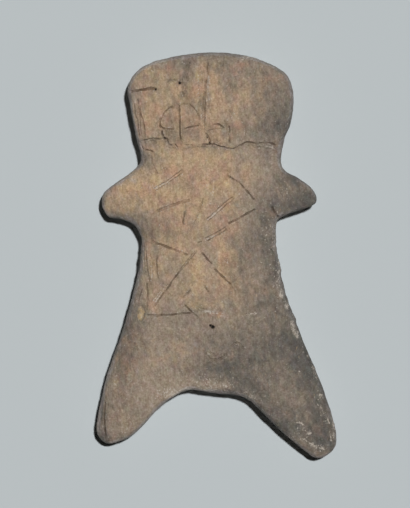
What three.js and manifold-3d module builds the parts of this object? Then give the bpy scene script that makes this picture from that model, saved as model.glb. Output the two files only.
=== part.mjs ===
// Terracotta figurine: one slab of clay shaped by hand, incised while damp and fired.
// Sizes are in millimetres. The figure lies on its back: +Z points out of its face, +Y to its crown.

import * as THREE from "three";
import { mergeVertices } from "three/addons/utils/BufferGeometryUtils.js";
import Module from "manifold-3d";

const wasm = await Module();
wasm.setup();

// Slab: its widest line, the rim, runs all round at one height. Front and back each roll away from it over
// their own width, boxier as their fullness grows, and the front is slightly crowned.
const rimHeight = 8;
const frontRise = 3.4;
const frontRoll = 2.4;
const frontFullness = 3;
const backDrop = 8.3;
const backRoll = 4.3;
const backFullness = 2.4;
const crownRise = 0.6;
const crownReach = 6;
const clayColour = "#94806c";
const clayRoughness = 0.9;

// Faceting: cells of the surface's net across and up, and straight steps between two landmarks of the outline
const cellAcross = 1.55;
const cellUp = 2.2;
const outlineSteps = 4;

// Outline seen from the front, clockwise from the crown, as x and y from the middle of the figure
const headRight = [[0.1, 50], [7.3, 49.1], [13.4, 47], [17.5, 44.1], [19, 39], [18.2, 32.6], [16.4, 27.7],
  [16.1, 21.7]];
const armRight = [[20.6, 18.8], [23.8, 16.1], [24.5, 13], [21.3, 11.3], [15.4, 9.1]];
const sideRight = [[14.5, 5.5], [15.1, -0.7], [17, -9.5], [20.7, -19.6]];
const legRight = [[25.3, -30.6], [28.6, -40.4], [29.5, -45.5], [28.1, -48.7], [25, -50], [21.8, -48.3],
  [15.5, -43.1], [8.2, -35.9]];
const crotch = [[4, -34.4], [-1.6, -33.9], [-7.3, -33.2]];
const legLeft = [[-13, -36.6], [-17.9, -41.7], [-21.6, -44.9], [-25.8, -46.4], [-28.7, -45.2], [-29.6, -41.7],
  [-26.9, -29.1]];
const sideLeft = [[-23, -18.1], [-19.8, -5.9], [-18.7, 0.3], [-18.6, 4.5]];
const armLeft = [[-20.6, 7.7], [-23.6, 8.9], [-26.7, 9.5], [-28.3, 12.3], [-27.7, 15.5], [-24.3, 18.2],
  [-19.8, 21.4]];
const headLeft = [[-18.6, 24], [-20, 29.8], [-21.4, 37.3], [-21.9, 41.2], [-20.1, 44.9], [-15.9, 47.4],
  [-8.3, 49.3]];
const landmarks = [headRight, armRight, sideRight, legRight, crotch, legLeft, sideLeft, armLeft, headLeft]
  .flat();

// Low forms: middle, reach across and along, and how far they swell the front and the back
const forms = [
  { name: "left eye", middle: [-9.1, 31.3], reach: [4.2, 4.4], front: 0.8, back: 0 },
  { name: "right eye", middle: [1.6, 31], reach: [3.8, 4.2], front: 0.6, back: 0 },
  { name: "forehead ridge left of the furrow", middle: [-5.8, 41], reach: [1.8, 6], front: 0.6, back: 0 },
  { name: "forehead ridge right of the furrow", middle: [-0.6, 41], reach: [1.9, 6], front: 0.6, back: 0 },
  { name: "belly", middle: [-1, -15], reach: [14, 13], front: 1.1, back: 0 },
  { name: "dip of the chest", middle: [-2, 12], reach: [12, 8], front: -0.4, back: 0 },
  { name: "taper of the right arm", middle: [25, 13.5], reach: [7, 7], front: -1.2, back: -1 },
  { name: "taper of the left arm", middle: [-28, 13], reach: [7, 7], front: -1.2, back: -1 },
  { name: "taper of the right foot", middle: [27, -48], reach: [11, 12], front: -1.4, back: -1 },
  { name: "taper of the left foot", middle: [-27, -45], reach: [11, 12], front: -1.4, back: -1 },
];

// Chin: the face stands proud of the neck above this line
const chinLine = [[-18.4, 28.7], [-13, 28.9], [-9.5, 26.7], [-4.8, 27.3], [-0.9, 27.5], [3.3, 26.5],
  [7.3, 27.9], [15.1, 26.8]];
const chinStep = 0.5;
const chinSlope = 1.2;

// Lines drawn with a pointed tool: how deep the point went, and its path across the front
const toolHalfWidth = 0.8;
const strokeSpacing = 2.2;
const strokes = [
  { name: "left line of the face", depth: 0.4, path: [[-7.8, 46.4], [-8.5, 43.2], [-9, 38.3], [-9.2, 26.9]] },
  { name: "middle furrow", depth: 0.55, path: [[-2.2, 47.8], [-2.9, 44.2], [-3.1, 40.3], [-3.1, 30.1]] },
  { name: "right line of the face", depth: 0.35, path: [[3.6, 37.3], [3.1, 33.8], [2.8, 27.4]] },
  { name: "brow slit", depth: 0.45, path: [[-21.2, 40.5], [-16.9, 41.2], [-14.8, 40.9]] },
  { name: "left eye slit", depth: 0.45, path: [[-13.8, 31.5], [-9, 31.3], [-3.8, 31.6]] },
  { name: "left eye lower rim", depth: 0.4, path: [[-13.5, 31.4], [-13, 28.7], [-9.5, 26.6]] },
  { name: "right eye slit", depth: 0.4, path: [[-2.9, 31], [-0.3, 32.1], [3.1, 31.3]] },
  { name: "right eye lower rim", depth: 0.4, path: [[-2.7, 30.6], [-2.1, 29.2], [-1.1, 27.5]] },
  { name: "chin, left", depth: 0.45, path: [[-18.6, 28.6], [-14.7, 28.9], [-13, 28.9]] },
  { name: "chin", depth: 0.55, path: chinLine.slice(3) },
  { name: "collar, left", depth: 0.5, path: [[-8.4, 21.4], [-11.5, 19.2], [-15.7, 15.9]] },
  { name: "collar, right", depth: 0.45, path: [[2.6, 19.7], [5.3, 17.8], [9.8, 13.2]] },
  { name: "chest, left", depth: 0.45, path: [[-7.1, 14], [-10.3, 12.6], [-14.9, 10.9]] },
  { name: "chest, right", depth: 0.5, path: [[4.7, 14.6], [0.8, 11.8], [-3.2, 8]] },
  { name: "long line, right", depth: 0.5, path: [[9.2, 11.1], [5.8, 9.4], [2.3, 6.5], [-4.7, 3.1]] },
  { name: "waist, left", depth: 0.45, path: [[-17.4, 3.4], [-12.7, 2.3], [-6.8, 0.2]] },
  { name: "star arm, upper right", depth: 0.45, path: [[-3.7, 0.8], [-0.9, -2.4]] },
  { name: "star arm, lower right", depth: 0.45, path: [[-0.3, -3.4], [3.6, -7.3]] },
  { name: "star arm, left", depth: 0.5, path: [[-5, 1.3], [-9.4, -4.4], [-15.2, -11.9]] },
  { name: "side line", depth: 0.4, path: [[-17.5, -0.2], [-16.7, -4.4], [-17.2, -14.3]] },
  { name: "hip tick", depth: 0.45, path: [[-8.2, -12.1], [-5.2, -14.3]] },
  { name: "hip line", depth: 0.4, path: [[-17.2, -15], [-10.9, -14.6], [-5.3, -14.3]] },
  { name: "armpit crease", depth: 0.45, path: [[13.4, 12.3], [14.2, 10.9], [15.3, 9.3]] },
];

// Holes pushed in with a point: middle, mouth radius, depth
const holes = [
  { name: "navel", middle: [-1.1, -17.6], radius: 0.55, depth: 1.6 },
  { name: "temple", middle: [-9.1, 42.5], radius: 0.4, depth: 0.9 },
];
const holeSides = 8;
const holeOvershoot = 1.5;

// Measuring steps: the closest that a place counts to an edge's line, the nudge that finds the field's slope,
// and how a point is moved onto the surface
const leastOff = 1e-4;
const nudge = 1e-3;
const settlePasses = 4;
const longestMove = 0.5;
const mergeWithin = 1e-4;

// Half the width of the table top that the soft slab is pressed flat on
const tableReach = 70;

// The outline as one smooth closed curve, cut into straight steps
const outlineCurve = new THREE.CatmullRomCurve3(
  landmarks.map(([x, y]) => new THREE.Vector3(x, y, 0)), true, "catmullrom", 0.5);
const outline = Array.from({ length: landmarks.length * outlineSteps },
  (_, i) => outlineCurve.getPoint(i / (landmarks.length * outlineSteps)));

// Inset is a smooth measure of how far in from the outline a place lies. Beside the rim it is the plain
// distance, in the middle of a wide part it levels out, and outside it is negative. It is the inverse of
// the average of one over the distance to the outline, taken in every direction, edge by edge.
function inset(x, y) {
  let sum = 0;
  let a = outline[outline.length - 1];
  for (const b of outline) {
    const length = Math.hypot(b.x - a.x, b.y - a.y);
    const ux = (b.x - a.x) / length;
    const uy = (b.y - a.y) / length;
    const off = (y - a.y) * ux - (x - a.x) * uy;
    const clear = Math.abs(off) < leastOff ? -leastOff : off;
    const from = (a.x - x) * ux + (a.y - y) * uy;
    const to = from + length;
    sum -= (to / Math.hypot(to, clear) - from / Math.hypot(from, clear)) / clear;
    a = b;
  }
  return 2 / sum;
}

// Height of the chin line at x, straight from point to point
function chinAt(x) {
  const next = chinLine.findIndex(([px]) => px > x);
  if (next < 1) return chinLine.at(next)[1];
  const [[x0, y0], [x1, y1]] = [chinLine[next - 1], chinLine[next]];
  return THREE.MathUtils.mapLinear(x, x0, x1, y0, y1);
}

// How far the low forms swell one side of the slab
function swell(x, y, side) {
  return forms.reduce((sum, { middle, reach, [side]: height }) =>
    sum + height * Math.exp(-(((x - middle[0]) / reach[0]) ** 2) - ((y - middle[1]) / reach[1]) ** 2), 0);
}

// How far the front stands above the rim, and the back below it, past the roll of the edge
function riseAt(x, y, inward) {
  const crown = crownRise * (1 - THREE.MathUtils.clamp(1 - inward / crownReach, 0, 1) ** 2);
  const chin = chinStep * THREE.MathUtils.smoothstep(y, chinAt(x) - chinSlope, chinAt(x));
  return frontRise + crown + chin + swell(x, y, "front");
}

function dropAt(x, y) {
  return backDrop + swell(x, y, "back");
}

// The clay is where this is below zero: front and back both leave the rim upright
function clay(x, y, z) {
  const inward = inset(x, y);
  if (z > rimHeight) {
    const lift = (z - rimHeight) / riseAt(x, y, inward);
    return Math.max(0, 1 - inward / frontRoll) ** frontFullness + lift ** frontFullness - 1;
  }
  const fall = (rimHeight - z) / dropAt(x, y);
  return Math.max(0, 1 - inward / backRoll) ** backFullness + fall ** backFullness - 1;
}

// A point of the front surface above a place inside the outline
function onFront(x, y) {
  const inward = inset(x, y);
  const roll = Math.max(0, 1 - inward / frontRoll);
  const level = (1 - roll ** frontFullness) ** (1 / frontFullness);
  return new THREE.Vector3(x, y, rimHeight + riseAt(x, y, inward) * level);
}

// Moves a point along the field's slope until it lies on the surface
function settle(point) {
  for (let pass = 0; pass < settlePasses; pass++) {
    const [x, y, z] = point;
    const value = clay(x, y, z);
    const slope = [clay(x + nudge, y, z), clay(x, y + nudge, z), clay(x, y, z + nudge)]
      .map((moved) => (moved - value) / nudge);
    const steepness = slope[0] ** 2 + slope[1] ** 2 + slope[2] ** 2;
    point = point.map((c, i) =>
      c - THREE.MathUtils.clamp(value * slope[i] / steepness, -longestMove, longestMove));
  }
  return point;
}

// The closed surface as a net: one point for each cell that it passes through, and one four-sided face
// round each cell edge that it crosses, folded along the diagonal that lies nearer to the surface
function slabGeometry() {
  const cell = [cellAcross, cellAcross, cellUp];
  const reach = new THREE.Box3().setFromPoints(outline);
  reach.min.z = rimHeight - 2 * backDrop;
  reach.max.z = rimHeight + 2 * frontRise;
  reach.expandByScalar(cellAcross);
  const low = reach.min.toArray();
  const high = reach.max.toArray();
  const count = low.map((c, i) => Math.ceil((high[i] - c) / cell[i]) + 1);
  const place = (node) => node.map((n, i) => low[i] + n * cell[i]);
  const index = ([i, j, k]) => (i * count[1] + j) * count[2] + k;
  const moved = (node, ...axes) => node.map((n, i) => n + (axes.includes(i) ? 1 : 0));
  const back = (node, ...axes) => node.map((n, i) => n - (axes.includes(i) ? 1 : 0));

  const nodes = [];
  for (let i = 0; i < count[0]; i++) {
    for (let j = 0; j < count[1]; j++) {
      for (let k = 0; k < count[2]; k++) nodes.push([i, j, k]);
    }
  }
  const values = nodes.map((node) => clay(...place(node)));
  const crossings = new Map();
  const edges = [];
  for (const node of nodes) {
    for (const axis of [0, 1, 2]) {
      const far = moved(node, axis);
      if (far[axis] >= count[axis]) continue;
      const [near, beyond] = [values[index(node)], values[index(far)]];
      if (near < 0 === beyond < 0) continue;
      const [p, q] = [(axis + 1) % 3, (axis + 2) % 3];
      const cells = [back(node, p, q), back(node, q), node, back(node, p)].map(index);
      edges.push(near < 0 ? cells : cells.reverse());
      const share = near / (near - beyond);
      const crossing = place(node).map((c, i) => c + (i === axis ? share * cell[i] : 0));
      for (const c of cells) crossings.set(c, [...(crossings.get(c) ?? []), crossing]);
    }
  }
  const order = new Map([...crossings.keys()].map((c, i) => [c, i]));
  const points = [...crossings.values()].map((list) =>
    settle([0, 1, 2].map((i) => list.reduce((sum, p) => sum + p[i], 0) / list.length)));
  const geometry = new THREE.BufferGeometry();
  geometry.setAttribute("position", new THREE.Float32BufferAttribute(points.flat(), 3));
  const gap = (i, j) => Math.abs(clay(...[0, 1, 2].map((n) => (points[i][n] + points[j][n]) / 2)));
  geometry.setIndex(edges.flatMap((cells) => {
    const [a, b, c, d] = cells.map((id) => order.get(id));
    return gap(a, c) < gap(b, d) ? [a, b, c, a, c, d] : [a, b, d, b, c, d];
  }));
  return geometry;
}

// A closed geometry as a solid that can be cut
function solid(geometry) {
  const bare = geometry.clone();
  bare.deleteAttribute("normal");
  bare.deleteAttribute("uv");
  const merged = mergeVertices(bare, mergeWithin);
  return new wasm.Manifold(new wasm.Mesh({
    numProp: 3,
    vertProperties: merged.attributes.position.array,
    triVerts: new Uint32Array(merged.index.array),
  }));
}

// The pointed tool swept along a stroke: it dives in at one end, follows the front and lifts out at the other
function strokeGeometry({ depth, path }) {
  const corners = path.map(([x, y]) => new THREE.Vector3(x, y, 0));
  const line = new THREE.CatmullRomCurve3(corners, false, "catmullrom");
  const steps = Math.max(3, Math.round(line.getLength() / strokeSpacing));
  const points = line.getSpacedPoints(steps).map(({ x, y }, i) => {
    const point = onFront(x, y);
    point.z += toolHalfWidth - (i === 0 || i === steps ? 0 : depth);
    return point;
  });
  const tool = new THREE.Shape([[1, 0], [0, 1], [-1, 0], [0, -1]]
    .map(([x, y]) => new THREE.Vector2(x, y).multiplyScalar(toolHalfWidth)));
  const sweep = new THREE.CatmullRomCurve3(points, false, "catmullrom");
  return new THREE.ExtrudeGeometry(tool, { steps, bevelEnabled: false, extrudePath: sweep });
}

// A cone, point down, with its mouth a little above the front
function holeGeometry({ middle, radius, depth }) {
  const cone = new THREE.ConeGeometry(radius * holeOvershoot, depth * holeOvershoot, holeSides);
  cone.rotateX(-Math.PI / 2);
  const mouth = onFront(...middle);
  cone.translate(mouth.x, mouth.y, mouth.z - depth * (1 - holeOvershoot / 2));
  return cone;
}

// The figurine: the slab, pressed flat behind, with every line and hole cut into its front, set down with the
// middle of its outline over the origin
function figurine() {
  const table = new THREE.BoxGeometry(2 * tableReach, 2 * tableReach, tableReach);
  table.translate(0, 0, -tableReach / 2);
  let body = solid(slabGeometry()).subtract(solid(table));
  for (const cut of [...strokes.map(strokeGeometry), ...holes.map(holeGeometry)]) {
    body = body.subtract(solid(cut));
  }
  const { vertProperties, triVerts } = body.getMesh();
  const geometry = new THREE.BufferGeometry();
  geometry.setAttribute("position", new THREE.BufferAttribute(vertProperties, 3));
  geometry.setIndex(new THREE.BufferAttribute(triVerts, 1));
  geometry.computeBoundingBox();
  const middle = geometry.boundingBox.getCenter(new THREE.Vector3());
  geometry.translate(-middle.x, -middle.y, -geometry.boundingBox.min.z);
  const firedClay = new THREE.MeshStandardMaterial({ color: clayColour, roughness: clayRoughness });
  const mesh = new THREE.Mesh(geometry, firedClay);
  mesh.name = "figurine";
  return mesh;
}

const group = new THREE.Group();
group.add(figurine());

export default group;
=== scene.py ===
"""A small terracotta figurine lying on its back on a pale table, seen from straight above.

The clay is one mesh: a slab with a rolled edge, netted from a formula, made finer where the maker's tool
has been, and then pushed in and out along its normals by lines, holes, cracks, grains and wear.

Lengths are millimetres up to the making of a mesh, and metres in Blender. +X is to the viewer's right,
+Y to the crown of the head and +Z out of the face.
"""

import math

import bpy
import numpy as np
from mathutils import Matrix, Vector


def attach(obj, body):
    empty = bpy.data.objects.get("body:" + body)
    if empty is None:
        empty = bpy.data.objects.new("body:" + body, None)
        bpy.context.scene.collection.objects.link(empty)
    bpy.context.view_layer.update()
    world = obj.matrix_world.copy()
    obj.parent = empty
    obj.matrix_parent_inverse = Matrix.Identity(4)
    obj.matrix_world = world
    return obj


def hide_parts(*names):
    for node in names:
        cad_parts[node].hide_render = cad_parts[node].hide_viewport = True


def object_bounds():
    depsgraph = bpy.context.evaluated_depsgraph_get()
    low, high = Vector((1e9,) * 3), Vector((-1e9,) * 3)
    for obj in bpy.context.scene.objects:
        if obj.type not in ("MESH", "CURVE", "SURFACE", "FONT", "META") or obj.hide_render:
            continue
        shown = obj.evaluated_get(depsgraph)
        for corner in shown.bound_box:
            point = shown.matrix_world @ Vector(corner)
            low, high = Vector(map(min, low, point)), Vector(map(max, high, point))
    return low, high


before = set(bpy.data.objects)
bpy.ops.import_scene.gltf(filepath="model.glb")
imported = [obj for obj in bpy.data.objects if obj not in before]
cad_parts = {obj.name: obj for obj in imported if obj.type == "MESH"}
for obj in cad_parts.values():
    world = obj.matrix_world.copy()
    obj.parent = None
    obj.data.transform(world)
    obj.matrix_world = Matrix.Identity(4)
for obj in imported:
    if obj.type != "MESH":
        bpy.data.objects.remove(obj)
cad_low, cad_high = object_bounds()

MM = 0.001

# Photograph: its frame, the place of the figure's middle in it, and the figure's height in it
PHOTO_WIDTH = 410
PHOTO_HEIGHT = 508
FIGURE_MIDDLE_PX = (216.5, 255.2)
FIGURE_HEIGHT_PX = 405.4
FIGURE_HEIGHT = 100.0
MM_PER_PX = FIGURE_HEIGHT / FIGURE_HEIGHT_PX

# Camera: straight above, with the figure filling the frame as in the photograph, and far off, since the
# shadow is as wide at the head as at the feet
LENS = 300.0
FILM_LONG_SIDE = 36.0
CAMERA_DISTANCE = PHOTO_HEIGHT * MM_PER_PX * LENS / FILM_LONG_SIDE
CAMERA_XY = MM_PER_PX * np.array([PHOTO_WIDTH / 2 - FIGURE_MIDDLE_PX[0],
                                  FIGURE_MIDDLE_PX[1] - PHOTO_HEIGHT / 2])

# Light: where the lamp stands, in metres, how wide it looks, in degrees, and how strong it and the fill from
# all round are
LAMP_PLACE = (0.124, 0.15, 1.12)
LAMP_WIDTH = 2.4
LAMP_STRENGTH = 2.66
FILL_STRENGTH = 0.043

# Half the side of the table, in metres
TABLE_REACH = 4.0

# Slab, as in the solid: the height of its widest line, the rim, and how far front and back stand off it. Each
# rolls away from the rim over its own width, boxier as its fullness grows, and the front is slightly crowned.
RIM_HEIGHT = 8.0
FRONT_RISE = 3.4
FRONT_ROLL = 2.4
FRONT_FULLNESS = 3.0
BACK_DROP = 8.3
BACK_ROLL = 4.3
BACK_FULLNESS = 2.4
CROWN_RISE = 0.6
CROWN_REACH = 6.0

# Where the front's edge is crisp: middle, reach across and along, and how much narrower its roll is
CRISP_EDGES = [
    (-21, 32.5, 2.5, 8, 0.82), (-9.5, -34.5, 6, 2.5, 0.75), (-16, 47.5, 6, 2, 0.45), (10, 48, 6, 2, 0.35),
]

OUTLINE = [
    # right side of the head, from the crown
    (0.1, 50), (7.3, 49.1), (13.4, 47), (17.5, 44.1), (19, 39), (18.2, 32.6), (16.4, 27.7), (16.1, 21.7),
    # right arm
    (20.6, 18.8), (23.8, 16.1), (24.5, 13), (21.3, 11.3), (15.4, 9.1),
    # right side
    (14.5, 5.5), (15.1, -0.7), (17, -9.5), (20.7, -19.6),
    # right leg
    (25.3, -30.6), (28.6, -40.4), (29.5, -45.5), (28.1, -48.7), (25, -50), (21.8, -48.3), (15.5, -43.1),
    (8.2, -35.9),
    # crotch
    (4, -34.4), (-1.6, -33.9), (-7.3, -33.2),
    # left leg
    (-13, -36.6), (-17.9, -41.7), (-21.6, -44.9), (-25.8, -46.4), (-28.7, -45.2), (-29.6, -41.7),
    (-26.9, -29.1),
    # left side
    (-23, -18.1), (-19.8, -5.9), (-18.7, 0.3), (-18.6, 4.5),
    # left arm
    (-20.6, 7.7), (-23.6, 8.9), (-26.7, 9.5), (-28.3, 12.3), (-27.7, 15.5), (-24.3, 18.2), (-19.8, 21.4),
    # left side of the head
    (-18.6, 24), (-20, 29.8), (-21.4, 37.3), (-21.9, 41.2), (-20.1, 44.9), (-15.9, 47.4), (-8.3, 49.3),
]

# Low forms: middle, reach across and along, swelling of the front, swelling of the back
FORMS = {
    "left eye": (-9.1, 31.3, 4.2, 4.4, 0.8, 0),
    "right eye": (1.6, 31, 3.8, 4.2, 0.6, 0),
    "forehead ridge left of the furrow": (-5.8, 41, 1.8, 6, 0.6, 0),
    "forehead ridge right of the furrow": (-0.6, 41, 1.9, 6, 0.6, 0),
    "belly": (-1, -15, 14, 13, 1.1, 0),
    "dip of the chest": (-2, 12, 12, 8, -0.4, 0),
    "taper of the right arm": (25, 13.5, 7, 7, -1.2, -1),
    "taper of the left arm": (-28, 13, 7, 7, -1.2, -1),
    "taper of the right foot": (27, -48, 11, 12, -1.4, -1),
    "taper of the left foot": (-27, -45, 11, 12, -1.4, -1),
}

# Chin: the face stands proud of the neck above this line
CHIN_LINE = [(-18.4, 28.7), (-13, 28.9), (-9.5, 26.7), (-4.8, 27.3), (-0.9, 27.5), (3.3, 26.5), (7.3, 27.9),
             (15.1, 26.8)]
CHIN_STEP = 0.5
CHIN_SLOPE = 1.2

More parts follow.
